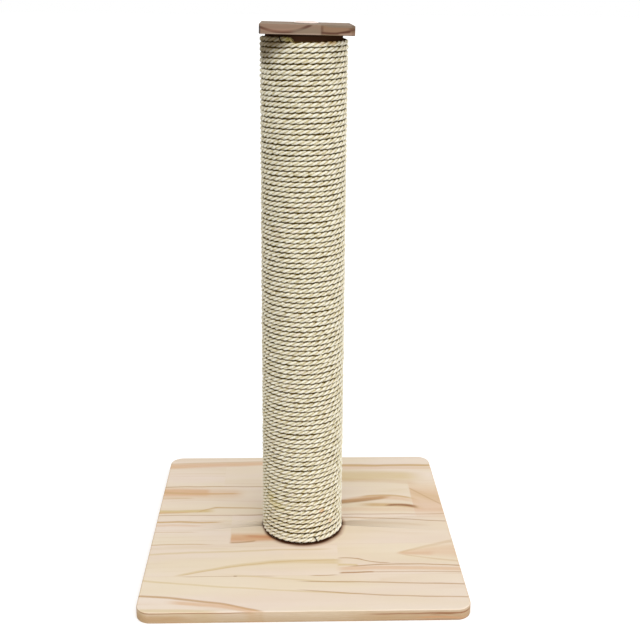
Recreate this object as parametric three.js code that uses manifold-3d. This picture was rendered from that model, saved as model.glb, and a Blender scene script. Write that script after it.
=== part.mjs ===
// A cat scratching post: a square pine base board, an upright tube wound with one length of sisal rope,
// and a small square pine cap. Millimetres, +Z up, the front is -Y, and the origin is the middle of the
// board's underside.
import * as THREE from 'three';
import { mergeVertices } from 'three/addons/utils/BufferGeometryUtils.js';
import Module from 'manifold-3d';

// ---------------------------------------------------------------- driving dimensions

// base board
const boardSide = 380;
const boardThickness = 14;
const boardCornerRadius = 25;
const boardArris = 1.5; // the eased edge, all round, top and bottom

// post: a tube closed by a wood plug at each end
const tubeDiameter = 90;
const tubeWall = 4;
const tubeLength = 625;
const plugThickness = 18;

// rope, wound in one layer from the board up
const ropeDiameter = 5.6; // pressed a little by its neighbours
const ropeTurnGap = 0.43; // between neighbouring turns
const ropeStartAngle = 140; // degrees about +Z from +X: at the back, to the left
const ropeLevelShare = 0.85; // of the first turn, which lies level before it climbs over the rope's start
const ropeSettling = 1.3; // turns in which that step fades out into an even helix
const bareTubeAtFoot = 1.2; // the tube shows here, between the board and the first turn
const bareTubeAtTop = 1.3; // and here, between the last turn and the cap

// cap board
const capSide = 106;
const capThickness = 11;
const capCornerRadius = 1.5;
const capArris = 0.8;
const capOffset = 2.5; // the cap's screw is this far to the right of the post's axis
const capTilt = 1; // degrees, down to the right: the cap sits on the tube's right edge

// bolt through the board, with its washer
const boltDiameter = 8;
const boltLength = 32;
const boltHeadDiameter = 13;
const boltHeadHeight = 5.2;
const boltSocketAcrossFlats = 5;
const boltSocketDepth = 3;
const washerDiameter = 20;
const washerThickness = 1.5;
const counterboreDiameter = 24;
const counterboreDepth = 7.5;

// pronged nut in the bottom plug
const nutFlangeDiameter = 24;
const nutFlangeThickness = 1.5;
const nutBarrelDiameter = 11;
const nutBarrelLength = 10;
const nutProngs = 4;
const nutProngLength = 7;
const nutProngWidth = 3;
const nutProngThickness = 1.2;

// countersunk wood screws: two from below against turning, one through the cap
const screwDiameter = 4;
const screwHeadDiameter = 8;
const screwPoint = 4;
const baseScrewLength = 25;
const baseScrewInset = 15; // from the bottom plug's rim
const baseScrewSunk = 1; // the head lies this far inside the board
const capScrewLength = 26;
const capScrewSunk = 0.6;

// cover over the cap's screw
const coverDiameter = 28;
const coverHeight = 2.8;
const coverRim = 0.8;

// nails through the tube's wall into the plugs
const nailsPerPlug = 3;
const nailFirstAngle = 90; // degrees about +Z from +X, clear of the screws
const nailLength = 20;
const nailDiameter = 1.8;
const nailPoint = 2;
const nailHeadDiameter = 5;
const nailHeadThickness = 0.8;
const nailSunk = 0.2;

// staples across the rope: one near each end, and one at the front that holds the first turn down
const stapleCrown = 6.4;
const stapleLeg = 10.5;
const stapleWire = 1;
const stapleLean = 62; // degrees from the rope's line, against its lay
const stapleSetback = 12; // degrees of turn from the rope's cut end
const frontStapleAngle = -72; // degrees about +Z from +X

const fit = 0.3; // clearance round a piece in its hole, and under a turned piece on its seat
const overshoot = 1; // how far a cutting tool reaches past the face that it opens
const screwMouth = 2; // how far a screw's hole stays open above its head

// sides of a round piece, by its size
const fineSides = 48;
const roundSides = 32;
const boltSides = 24;
const screwSides = 20;
const nailSides = 12;

// ---------------------------------------------------------------- materials

const finish = (color, roughness, metalness = 0) =>
  new THREE.MeshStandardMaterial({ color, roughness, metalness });

const pine = finish(0xe4d2ba, 0.62);
const shadedPine = finish(0xb59c86, 0.62);
const plugWood = finish(0xd2b48c, 0.75);
const sisal = finish(0xd8cda6, 0.9);
const cardboard = finish(0x6b5340, 0.85);
const zincedSteel = finish(0xb9bcc0, 0.35, 0.9);
const palePlastic = finish(0xead9cf, 0.45);

// ---------------------------------------------------------------- joining and cutting

const wasm = await Module();
wasm.setup();

// A closed geometry as a solid, placed by a matrix.
function solidOf(geometry, matrix) {
  const flat = geometry.index ? geometry.toNonIndexed() : geometry;
  const bare = new THREE.BufferGeometry().setAttribute('position', flat.getAttribute('position').clone());
  if (matrix) bare.applyMatrix4(matrix);
  const merged = mergeVertices(bare, 1e-4);
  return new wasm.Manifold(
    new wasm.Mesh({
      numProp: 3,
      vertProperties: merged.attributes.position.array,
      triVerts: new Uint32Array(merged.index.array),
    }),
  );
}

function geometryOf(solid) {
  const mesh = solid.getMesh();
  return new THREE.BufferGeometry()
    .setAttribute('position', new THREE.BufferAttribute(new Float32Array(mesh.vertProperties), 3))
    .setIndex(new THREE.BufferAttribute(new Uint32Array(mesh.triVerts), 1));
}

// Each tool or addition is a pair of a geometry and the matrix that places it.
const cut = (geometry, tools) =>
  geometryOf(tools.reduce((body, [tool, matrix]) => body.subtract(solidOf(tool, matrix)), solidOf(geometry)));
const join = (geometry, additions) =>
  geometryOf(additions.reduce((body, [more, matrix]) => body.add(solidOf(more, matrix)), solidOf(geometry)));

// ---------------------------------------------------------------- placing

const radians = THREE.MathUtils.degToRad;
const moved = (x, y, z) => new THREE.Matrix4().makeTranslation(x, y, z);
const turnedAbout = (axis, degrees) => new THREE.Matrix4()[`makeRotation${axis}`](radians(degrees));
const combined = (...matrices) => matrices.reduce((all, matrix) => all.multiply(matrix), new THREE.Matrix4());

// Places a piece made along +Z so that it points at the post's axis, from a radius and a height.
const pointingInward = (angle, radius, height) =>
  combined(turnedAbout('Z', angle), moved(radius, 0, height), turnedAbout('Y', -90));

function piece(name, geometry, material, matrix = new THREE.Matrix4()) {
  const mesh = new THREE.Mesh(geometry, material);
  mesh.name = name;
  mesh.applyMatrix4(matrix);
  return mesh;
}

// ---------------------------------------------------------------- shapes

// A profile of [radius, height] points turned about Z. The profile goes out, up and back in.
function turned(profile, sides = roundSides) {
  const points = profile.map(([radius, height]) => new THREE.Vector2(radius, height));
  return new THREE.LatheGeometry(points, sides).rotateX(Math.PI / 2);
}

const disc = (diameter, from, to, sides) =>
  turned([[0, from], [diameter / 2, from], [diameter / 2, to], [0, to]], sides);

function ring(outerDiameter, innerDiameter, from, to, sides) {
  const outer = outerDiameter / 2;
  const inner = innerDiameter / 2;
  return turned([[inner, from], [outer, from], [outer, to], [inner, to], [inner, from]], sides);
}

// A square board with rounded corners and eased arrises, standing on z = 0.
function boardGeometry(side, thickness, cornerRadius, arris) {
  const half = side / 2 - arris;
  const radius = cornerRadius - arris;
  const centre = half - radius;
  const outline = new THREE.Shape();
  outline.absarc(centre, centre, radius, 0, Math.PI / 2);
  outline.absarc(-centre, centre, radius, Math.PI / 2, Math.PI);
  outline.absarc(-centre, -centre, radius, Math.PI, 1.5 * Math.PI);
  outline.absarc(centre, -centre, radius, 1.5 * Math.PI, 2 * Math.PI);
  return new THREE.ExtrudeGeometry(outline, {
    depth: thickness - 2 * arris,
    bevelSize: arris,
    bevelThickness: arris,
    bevelSegments: 2,
    curveSegments: 8,
  }).translate(0, 0, arris);
}

// A countersunk wood screw along +Z, its head's face at z = 0.
const screwHeadHeight = (screwHeadDiameter - screwDiameter) / 2;
const screwGeometry = (length) =>
  turned([
    [0, 0],
    [screwHeadDiameter / 2, 0],
    [screwDiameter / 2, screwHeadHeight],
    [screwDiameter / 2, length - screwPoint],
    [0, length],
  ], screwSides);

// The hole that such a screw fills, open past the face that it is driven from.
const screwHole = (length) =>
  turned([
    [0, -screwMouth],
    [screwHeadDiameter / 2 + fit, -screwMouth],
    [screwHeadDiameter / 2 + fit, 0],
    [screwDiameter / 2 + fit, screwHeadHeight],
    [screwDiameter / 2 + fit, length - screwPoint],
    [0, length + fit],
  ], screwSides);

// A flat-headed nail along +Z, its head's face at z = 0.
const nailGeometry = () =>
  turned([
    [0, 0],
    [nailHeadDiameter / 2, 0],
    [nailHeadDiameter / 2, nailHeadThickness],
    [nailDiameter / 2, nailHeadThickness],
    [nailDiameter / 2, nailLength - nailPoint],
    [0, nailLength],
  ], nailSides);

// The hole that such a nail fills, open past the tube's surface.
const nailHole = () =>
  turned([
    [0, -overshoot],
    [nailHeadDiameter / 2 + fit, -overshoot],
    [nailHeadDiameter / 2 + fit, nailHeadThickness + fit],
    [nailDiameter / 2 + fit, nailHeadThickness + fit],
    [nailDiameter / 2 + fit, nailLength],
    [0, nailLength + fit],
  ], nailSides);

// A staple: its crown lies along X with its outer face at y = 0, and its legs point along -Y.
function stapleGeometry() {
  const half = stapleCrown / 2;
  const inside = half - stapleWire;
  const outline = new THREE.Shape([
    new THREE.Vector2(-half, 0),
    new THREE.Vector2(-half, -stapleLeg),
    new THREE.Vector2(-inside, -stapleLeg),
    new THREE.Vector2(-inside, -stapleWire),
    new THREE.Vector2(inside, -stapleWire),
    new THREE.Vector2(inside, -stapleLeg),
    new THREE.Vector2(half, -stapleLeg),
    new THREE.Vector2(half, 0),
  ]);
  return new THREE.ExtrudeGeometry(outline, { depth: stapleWire, bevelEnabled: false })
    .translate(0, 0, -stapleWire / 2);
}

// ---------------------------------------------------------------- heights and radii

const tubeRadius = tubeDiameter / 2;
const tubeBore = tubeDiameter - 2 * tubeWall;
const plugDiameter = tubeBore - 2 * fit;
const tubeFoot = boardThickness;
const tubeTop = tubeFoot + tubeLength;
const bottomPlugTop = tubeFoot + plugThickness;
const topPlugFoot = tubeTop - plugThickness;

// ---------------------------------------------------------------- rope

// The rope is one unbroken length, wound right-handed in one layer. Its section has three corners, two on
// the tube and the crest outside.
const ropeStepsPerTurn = 14;
const ropePitch = ropeDiameter + ropeTurnGap;
const ropeFoot = tubeFoot + bareTubeAtFoot;
const ropeTop = tubeTop - bareTubeAtTop;
const ropeTurns = (ropeTop - ropeFoot - ropeDiameter) / ropePitch;
const ropeSteps = Math.ceil(ropeTurns * ropeStepsPerTurn);
// Between two steps the rope runs straight, nearer to the axis than at the steps.
const flattening = Math.cos(Math.PI / ropeStepsPerTurn);
const ropeSeatRadius = (tubeRadius + fit) / flattening;
const ropeCrestRadius = ((tubeRadius + fit + ropeDiameter) * 2) / (1 + flattening);

// Turns of an even helix that bring the rope as high as it is after a number of turns. Each turn falls
// behind the helix along its level share and catches up in the rest, by less and less after the first.
function ropeRise(turn) {
  const part = turn % 1;
  const behind = part < ropeLevelShare ? part : (ropeLevelShare * (1 - part)) / (1 - ropeLevelShare);
  return turn - behind * Math.exp(-Math.max(turn - 1, 0) / ropeSettling);
}

const ropeAngle = (turn) => radians(ropeStartAngle) + 2 * Math.PI * turn;
const ropeHeight = (turn) => ropeFoot + ropeDiameter / 2 + ropePitch * ropeRise(turn);

function ropeSections() {
  const corners = [
    [ropeSeatRadius, -ropeDiameter / 2],
    [ropeCrestRadius, 0],
    [ropeSeatRadius, ropeDiameter / 2],
  ];
  return Array.from({ length: ropeSteps + 1 }, (_, step) => {
    const turn = Math.min(step / ropeStepsPerTurn, ropeTurns);
    const angle = ropeAngle(turn);
    return corners.map(
      ([radius, height]) =>
        new THREE.Vector3(radius * Math.cos(angle), radius * Math.sin(angle), ropeHeight(turn) + height),
    );
  });
}

// A closed tube through sections of as many corners each, which go round outwards, up and back in.
function tubeThrough(sections) {
  const corners = sections[0].length;
  const triangles = [];
  for (let step = 0; step < sections.length - 1; step += 1) {
    for (let corner = 0; corner < corners; corner += 1) {
      const here = step * corners + corner;
      const beside = step * corners + ((corner + 1) % corners);
      triangles.push(here, here + corners, beside + corners, here, beside + corners, beside);
    }
  }
  const last = (sections.length - 1) * corners;
  for (let corner = 1; corner < corners - 1; corner += 1) {
    triangles.push(0, corner, corner + 1, last, last + corner + 1, last + corner);
  }
  return new THREE.BufferGeometry().setFromPoints(sections.flat()).setIndex(triangles);
}

// The least distance between the corner points of each section and those of the turn above.
function leastTurnGap(sections) {
  let least = Infinity;
  sections.forEach((section, step) => {
    const above = sections.slice(step + ropeStepsPerTurn - 1, step + ropeStepsPerTurn + 2).flat();
    section.forEach((point) => above.forEach((other) => {
      least = Math.min(least, point.distanceTo(other));
    }));
  });
  return least;
}

const sections = ropeSections();
const leastGap = leastTurnGap(sections);
console.log(`rope: ${ropeTurns.toFixed(2)} turns, least gap between turns ${leastGap.toFixed(3)} mm`);

// The staples' legs go through the rope into the tube's wall.
const stapleRadius = ropeCrestRadius + fit + stapleWire;
const stapleTurns = {
  rope_staple_bottom: stapleSetback / 360,
  rope_staple_front: THREE.MathUtils.euclideanModulo(frontStapleAngle - ropeStartAngle, 360) / 360,
  rope_staple_top: ropeTurns - stapleSetback / 360,
};
const stapleMatrix = (turn) =>
  combined(
    turnedAbout('Z', THREE.MathUtils.radToDeg(ropeAngle(turn)) - 90),
    moved(0, stapleRadius, ropeHeight(turn)),
    turnedAbout('Y', -stapleLean),
  );
const legWidth = stapleWire + 2 * fit;
const legHole = new THREE.BoxGeometry(legWidth, stapleLeg + 2 * fit, legWidth)
  .translate(0, -stapleLeg / 2, 0);
const legAcross = (stapleCrown - stapleWire) / 2;
const legHoles = Object.values(stapleTurns).flatMap((turn) =>
  [-legAcross, legAcross].map((across) => [legHole, combined(stapleMatrix(turn), moved(across, 0, 0))]),
);

const ropeGeometry = cut(tubeThrough(sections), legHoles);

// ---------------------------------------------------------------- nails, plugs and tube

const plugs = {
  bottom: tubeFoot + plugThickness / 2,
  top: tubeTop - plugThickness / 2,
};
const nails = Object.entries(plugs).flatMap(([end, height]) =>
  Array.from({ length: nailsPerPlug }, (_, index) => ({
    name: `plug_nail_${end}_${index + 1}`,
    matrix: pointingInward(nailFirstAngle + (360 / nailsPerPlug) * index, tubeRadius - nailSunk, height),
  })),
);
const nailHoles = nails.map(({ matrix }) => [nailHole(), matrix]);

const tubeWallGeometry = ring(tubeDiameter, tubeBore, tubeFoot, tubeTop, fineSides);
const tubeGeometry = cut(tubeWallGeometry, [...nailHoles, ...legHoles]);

// ---------------------------------------------------------------- bolt, washer and pronged nut

const clearanceDiameter = boltDiameter + 2 * fit;
const washerFoot = counterboreDepth - washerThickness;
const boltFoot = washerFoot - boltHeadHeight;
const boltTop = washerFoot + boltLength;
const boltEnd = 1; // the chamfer at the bolt's end
const boltSocketDiameter = boltSocketAcrossFlats / Math.cos(Math.PI / 6);

const boltGeometry = cut(
  turned([
    [0, boltFoot],
    [boltHeadDiameter / 2, boltFoot],
    [boltHeadDiameter / 2, washerFoot],
    [boltDiameter / 2, washerFoot],
    [boltDiameter / 2, boltTop - boltEnd],
    [boltDiameter / 2 - boltEnd, boltTop],
    [0, boltTop],
  ], boltSides),
  [[disc(boltSocketDiameter, boltFoot - overshoot, boltFoot + boltSocketDepth, 6)]],
);

const nutBarrel = turned([
  [clearanceDiameter / 2, bottomPlugTop - nutBarrelLength],
  [nutBarrelDiameter / 2, bottomPlugTop - nutBarrelLength],
  [nutBarrelDiameter / 2, bottomPlugTop],
  [nutFlangeDiameter / 2, bottomPlugTop],
  [nutFlangeDiameter / 2, bottomPlugTop + nutFlangeThickness],
  [clearanceDiameter / 2, bottomPlugTop + nutFlangeThickness],
  [clearanceDiameter / 2, bottomPlugTop - nutBarrelLength],
]);
const prongMatrices = Array.from({ length: nutProngs }, (_, index) =>
  combined(
    turnedAbout('Z', (360 / nutProngs) * (index + 0.5)),
    moved(nutFlangeDiameter / 2 - nutProngThickness - fit, 0, bottomPlugTop),
  ),
);
// A prong of a given growth all round, reaching from inside the flange down into the plug.
const prong = (growth) =>
  new THREE.BoxGeometry(
    nutProngThickness + 2 * growth,
    nutProngWidth + 2 * growth,
    nutProngLength + nutFlangeThickness / 2 + growth,
  ).translate(0, 0, (nutFlangeThickness / 2 - nutProngLength - growth) / 2);
const nutGeometry = join(nutBarrel, prongMatrices.map((matrix) => [prong(0), matrix]));

// ---------------------------------------------------------------- base screws and board

const baseScrewOffset = plugDiameter / 2 - baseScrewInset;
const baseScrews = {
  base_screw_left: moved(-baseScrewOffset, 0, baseScrewSunk),
  base_screw_right: moved(baseScrewOffset, 0, baseScrewSunk),
};
const baseScrewHoles = Object.values(baseScrews).map((matrix) => [screwHole(baseScrewLength), matrix]);

const boardSolid = cut(boardGeometry(boardSide, boardThickness, boardCornerRadius, boardArris), [
  [disc(counterboreDiameter, -overshoot, counterboreDepth)],
  [disc(clearanceDiameter, 0, boardThickness + overshoot)],
  ...baseScrewHoles,
]);

const bottomPlugGeometry = cut(disc(plugDiameter, tubeFoot, bottomPlugTop, fineSides), [
  [disc(clearanceDiameter, tubeFoot - overshoot, bottomPlugTop + overshoot)],
  [disc(nutBarrelDiameter + 2 * fit, bottomPlugTop - nutBarrelLength - fit, bottomPlugTop + overshoot)],
  ...prongMatrices.map((matrix) => [prong(fit), matrix]),
  ...baseScrewHoles,
  ...nailHoles,
]);

// ---------------------------------------------------------------- cap

// The cap turns a little about Y and touches the tube at its right edge.
const capFoot = tubeTop + fit + (tubeRadius - capOffset) * Math.tan(radians(capTilt));
const cap = new THREE.Group();
cap.position.set(capOffset, 0, capFoot);
cap.rotation.y = radians(capTilt);
cap.updateMatrix();

// In the cap's own frame the screw's head is at the top and its point goes down.
const capScrewMatrix = combined(moved(0, 0, capThickness - capScrewSunk), turnedAbout('X', 180));
const capScrewHole = [screwHole(capScrewLength), capScrewMatrix];
const capScrewHoleInPost = [screwHole(capScrewLength), combined(cap.matrix, capScrewMatrix)];

const topPlugDisc = disc(plugDiameter, topPlugFoot, tubeTop, fineSides);
const topPlugGeometry = cut(topPlugDisc, [capScrewHoleInPost, ...nailHoles]);

// The cover's top is half an ellipse over its rim.
const coverFoot = capThickness + fit;
const coverSteps = 6;
const coverArc = Array.from({ length: coverSteps + 1 }, (_, index) => {
  const angle = (index / coverSteps) * (Math.PI / 2);
  return [
    (coverDiameter / 2) * Math.cos(angle),
    coverFoot + coverRim + (coverHeight - coverRim) * Math.sin(angle),
  ];
});
const coverGeometry = turned([[0, coverFoot], [coverDiameter / 2, coverFoot], ...coverArc]);

const capBoardGeometry = cut(boardGeometry(capSide, capThickness, capCornerRadius, capArris), [capScrewHole]);
cap.add(
  piece('cap_board', capBoardGeometry, shadedPine),
  piece('cap_screw', screwGeometry(capScrewLength), zincedSteel, capScrewMatrix),
  piece('cap_screw_cover', coverGeometry, palePlastic),
);

// ---------------------------------------------------------------- assembly

const base = new THREE.Group();
base.add(
  piece('base_board', boardSolid, pine),
  piece('base_washer', ring(washerDiameter, clearanceDiameter, washerFoot, counterboreDepth), zincedSteel),
  piece('base_bolt', boltGeometry, zincedSteel),
  ...Object.entries(baseScrews).map(([name, matrix]) =>
    piece(name, screwGeometry(baseScrewLength), zincedSteel, matrix)),
);

const core = new THREE.Group();
core.add(
  piece('post_tube', tubeGeometry, cardboard),
  piece('bottom_plug', bottomPlugGeometry, plugWood),
  piece('top_plug', topPlugGeometry, plugWood),
  piece('tee_nut', nutGeometry, zincedSteel),
  ...nails.map(({ name, matrix }) => piece(name, nailGeometry(), zincedSteel, matrix)),
);

const winding = new THREE.Group();
winding.add(
  piece('sisal_rope', ropeGeometry, sisal),
  ...Object.entries(stapleTurns).map(([name, turn]) =>
    piece(name, stapleGeometry(), zincedSteel, stapleMatrix(turn))),
);

const scratchingPost = new THREE.Group();
scratchingPost.add(base, core, winding, cap);

export default scratchingPost;
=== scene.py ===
"""A cat scratching post: a square pine board, an upright tube wound with one length of twisted sisal
rope, and a small square pine cap. The sections follow the post as it is put together, from the board up.

Metres, +Z up, the front is -Y, and the origin is the middle of the board's underside.
"""

import bmesh
import bpy
import numpy as np
from mathutils import Matrix, Vector


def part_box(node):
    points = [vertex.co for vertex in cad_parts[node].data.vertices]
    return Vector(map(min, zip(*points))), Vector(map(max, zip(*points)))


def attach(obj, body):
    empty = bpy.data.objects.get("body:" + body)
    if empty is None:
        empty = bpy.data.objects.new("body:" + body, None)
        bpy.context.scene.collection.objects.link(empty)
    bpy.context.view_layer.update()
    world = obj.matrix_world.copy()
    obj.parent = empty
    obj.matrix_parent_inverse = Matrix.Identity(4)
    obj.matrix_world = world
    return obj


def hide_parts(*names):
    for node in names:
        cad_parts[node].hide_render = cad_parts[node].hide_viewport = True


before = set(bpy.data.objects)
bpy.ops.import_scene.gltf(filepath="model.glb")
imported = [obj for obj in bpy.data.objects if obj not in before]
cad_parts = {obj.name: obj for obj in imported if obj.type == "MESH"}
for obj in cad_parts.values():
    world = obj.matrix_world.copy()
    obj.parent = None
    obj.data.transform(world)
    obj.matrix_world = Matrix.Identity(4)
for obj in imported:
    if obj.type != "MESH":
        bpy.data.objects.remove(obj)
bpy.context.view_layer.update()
mm = 0.001

# ---------------------------------------------------------------- base board
# The board is five staves of radiata pine, glued edge to edge and some of them end to end, planed,
# cut square with round corners and sanded. Its edges are eased, and it is neither oiled nor varnished.


def rounded_square(side, corner_radius, side_steps, corner_steps):
    """Points round a square with quarter-circle corners, from the foot of its right side: each side is
    an even run between two corners, and each corner is its circle's centre plus the radius along an
    angle. A quarter turn takes one side and corner to the next."""
    reach = side / 2 - corner_radius
    run = np.linspace(-reach, reach, side_steps, endpoint=False)
    angle = np.linspace(0, np.pi / 2, corner_steps, endpoint=False)
    right = np.stack([np.full(side_steps, side / 2), run], 1)
    corner = reach + corner_radius * np.stack([np.cos(angle), np.sin(angle)], 1)
    quarter = np.concatenate([right, corner])
    turn = np.array([[0, 1], [-1, 0]])
    return np.concatenate([quarter @ np.linalg.matrix_power(turn, k) for k in range(4)])


def piece(name, points, rows_close=False, columns_close=True, sharp=35):
    """A mesh through a grid of points, rows by columns by XYZ. Each face joins a point to its neighbours
    in the next row and column. Points that meet, as at a pole, are merged, and the faces turned out."""
    rows, columns = points.shape[:2]
    row, column = np.meshgrid(
        np.arange(rows if rows_close else rows - 1),
        np.arange(columns if columns_close else columns - 1),
        indexing="ij",
    )
    corner = [
        (row + r) % rows * columns + (column + c) % columns
        for r, c in ((0, 0), (0, 1), (1, 1), (1, 0))
    ]
    mesh = bpy.data.meshes.new(name)
    mesh.from_pydata(points.reshape(-1, 3), [], np.stack(corner, -1).reshape(-1, 4))
    made = bpy.data.objects.new(name, mesh)
    bpy.context.scene.collection.objects.link(made)
    tidy(mesh, sharp)
    return made


def tidy(mesh, sharp):
    """Merges points that meet, turns the faces out, and shades smooth all edges under the sharp angle."""
    working = bmesh.new()
    working.from_mesh(mesh)
    bmesh.ops.remove_doubles(working, verts=working.verts, dist=1e-7)
    bmesh.ops.recalc_face_normals(working, faces=working.faces)
    working.to_mesh(mesh)
    working.free()
    mesh.shade_smooth()
    mesh.set_sharp_from_angle(angle=np.radians(sharp))


def board(name, side, thickness, corner_radius, arris, hole):
    """A board on z = 0 with a hole in its middle. The grid goes round the outline, and across it from
    the hole's foot over the underside, a quarter-round arris, the side, the other arris and the top
    back to the hole. A ring of points just inside each arris keeps the flat faces flat."""
    side_steps, corner_steps, arris_steps = 16, 10, 5
    bend = np.linspace(0, np.pi / 2, arris_steps + 1)
    inset = arris * (1 - np.sin(bend))
    height = arris * (1 - np.cos(bend))
    just_inside = 0.4 * mm
    insets = np.concatenate([[arris + just_inside], inset, inset[::-1], [arris + just_inside]])
    heights = np.concatenate([[0], height, thickness - height[::-1], [thickness]])
    steps = 4 * (side_steps + corner_steps)
    rings = []
    for inset, height in zip(insets, heights):
        outline = rounded_square(side - 2 * inset, corner_radius - inset, side_steps, corner_steps)
        rings.append(np.column_stack([outline, np.full(steps, height)]))
    angle = 2 * np.pi * (np.arange(steps) - side_steps / 2) / steps
    circle = np.stack([np.cos(angle), np.sin(angle)], 1)
    rings += [np.column_stack([radius * circle, np.full(steps, z)]) for radius, z in hole]
    return piece(name, np.stack(rings), rows_close=True)


class Socket:
    """An output of a node in a material. Arithmetic on it adds Math nodes and gives their outputs."""

    def __init__(self, output):
        self.output = output

    def node(self, kind, settings=None, inputs=None, output=0):
        """Adds a node of a kind to this socket's material, sets its settings and then its sockets, to
        values or links, and gives one of its outputs. A ramp's stops are places and colours."""
        tree = self.output.id_data
        added = tree.nodes.new("ShaderNode" + kind)
        for key, value in (settings or {}).items():
            if key == "stops":
                ramp = added.color_ramp.elements
                while len(ramp) < len(value):
                    ramp.new(1)
                for stop, (place, colour) in zip(ramp, value):
                    stop.position, stop.color = place, colour
            elif key == "interpolation":
                added.color_ramp.interpolation = value
            else:
                setattr(added, key, value)
        for key, value in (inputs or {}).items():
            if isinstance(value, Socket):
                tree.links.new(value.output, added.inputs[key])
            else:
                added.inputs[key].default_value = value
        return Socket(added.outputs[output])

    def math(self, operation, *others):
        return self.node("Math", {"operation": operation}, dict(enumerate((self, *others))))

    def __add__(self, other):
        return self.math("ADD", other)

    def __sub__(self, other):
        return self.math("SUBTRACT", other)

    def __rsub__(self, other):
        return self.math("MULTIPLY_ADD", -1.0, other)

    def __mul__(self, other):
        return self.math("MULTIPLY", other)

    def __truediv__(self, other):
        return self.math("DIVIDE", other)

    def __pow__(self, power):
        return self.math("POWER", power)

    def __gt__(self, other):
        return self.math("GREATER_THAN", other)

    def __abs__(self):
        return self.math("ABSOLUTE")

    __radd__ = __add__
    __rmul__ = __mul__

    def ease(self, low, high):
        """0 below low and 1 above high, with a smooth step between, or the other way round."""
        return self.node(
            "MapRange",
            {"interpolation_type": "SMOOTHSTEP"},
            {"Value": self, "From Min": low, "From Max": high},
        )

    def mix(self, first, second):
        """The first colour where this is 0, the second where it is 1."""
        tree = self.output.id_data
        added = tree.nodes.new("ShaderNodeMix")
        added.data_type = "RGBA"
        colours = [socket for socket in added.inputs if socket.type == "RGBA"]
        tree.links.new(self.output, added.inputs[0])
        for socket, colour in zip(colours, (first, second)):
            if isinstance(colour, Socket):
                tree.links.new(colour.output, socket)
            else:
                socket.default_value = colour
        return Socket(next(socket for socket in added.outputs if socket.type == "RGBA"))

    def axes(self):
        """The three parts of a vector."""
        return [self.node("SeparateXYZ", {}, {0: self}, output=k) for k in range(3)]

    def stretched(self, x, y, z):
        """A vector times a number along each axis."""
        return self.node("VectorMath", {"operation": "MULTIPLY"}, {0: self, 1: (x, y, z)})

    def length(self):
        """The length of a vector."""
        return self.node("VectorMath", {"operation": "LENGTH"}, {0: self}, output=1)

    def noise(self, detail=2.0, roughness=0.5, w=None):
        """Noise about 0, mostly within 1 each way. w picks another pattern, and may vary."""
        settings = {"noise_dimensions": "3D" if w is None else "4D"}
        inputs = {"Vector": self, "Scale": 1.0, "Detail": detail, "Roughness": roughness}
        if w is not None:
            inputs["W"] = w
        return (self.node("TexNoise", settings, inputs) - 0.5) * 4.0


def colour(red, green, blue):
    """A colour from 0 to 255 as it looks on a screen, as the linear colour that a shader takes."""
    screen = np.array([red, green, blue]) / 255
    linear = np.where(screen <= 0.04045, screen / 12.92, ((screen + 0.055) / 1.055) ** 2.4)
    return (*linear, 1.0)


def finish(name, source="Object"):
    """A new material, its shader, and the coordinates that its pattern follows."""
    material = bpy.data.materials.new(name)
    material.use_nodes = True
    nodes = material.node_tree.nodes
    place = Socket(nodes.new("ShaderNodeTexCoord").outputs[source])
    return material, nodes["Principled BSDF"], place


def coat(material, shader, **surface):
    """Sets a shader's sockets, each to a value that holds all over or to a socket that varies."""
    for name, value in surface.items():
        socket = shader.inputs[name.replace("_", " ")]
        if isinstance(value, Socket):
            material.node_tree.links.new(value.output, socket)
        else:
            socket.default_value = value


def wear(made, material, slot, *nodes):
    """Gives a finished piece its material and body, and hides the CAD nodes that it stands for. Its slot is
    not used.
    """
    made.data.materials.clear()
    made.data.materials.append(material)
    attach(made, "root")
    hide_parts(*nodes)


def bumped(height, strength, distance):
    """A normal from a height in units of the distance."""
    return height.node("Bump", {}, {"Strength": strength, "Distance": distance, "Height": height})


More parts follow.
